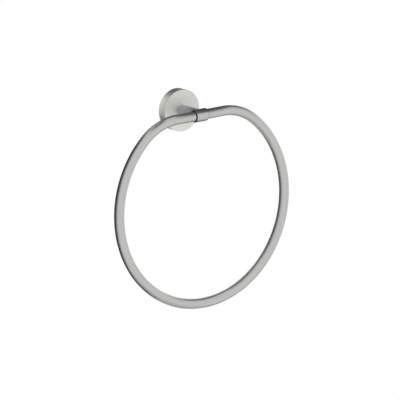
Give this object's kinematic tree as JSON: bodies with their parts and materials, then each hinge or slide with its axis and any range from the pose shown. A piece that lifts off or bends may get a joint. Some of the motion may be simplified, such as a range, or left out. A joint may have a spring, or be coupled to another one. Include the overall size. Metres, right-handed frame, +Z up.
{
  "type": "towel ring",
  "caption": "Wall-mounted towel ring: a round rosette and post carry a short sleeve in which a flat-topped ring of round tube swings freely.",
  "frame": {"origin": "middle of the wall plate's back face, on the wall and midway between its two screw holes", "axes": "+Y into the wall, so the ring hangs towards -Y; +X to the right along the wall seen from the front; +Z up"},
  "size_m": [0.2, 0.044, 0.2055],
  "materials": {
    "brushed_steel": "fine satin brush",
    "plated_steel": "dull zinc plating",
    "screw_steel": "plain turned stainless",
    "black_nylon": "matt moulded nylon"
  },
  "bodies": {
    "wall_bracket": {"wall_plate": "plated_steel", "rosette": "brushed_steel", "grub_screw": "screw_steel", "post": "brushed_steel", "post_screw": "screw_steel", "lock_washer": "screw_steel", "sleeve": "brushed_steel", "sleeve_liner": "black_nylon"},
    "swing_ring": {"ring": "brushed_steel", "joining_pin": "plated_steel"}
  },
  "joints": [
    {"name": "ring_swing", "type": "hinge", "parent": "wall_bracket", "child": "swing_ring", "pos_m": [0, -0.038, 0], "axis": [-1, 0, 0], "range_deg": [-10.5, 190.5]}
  ]
}
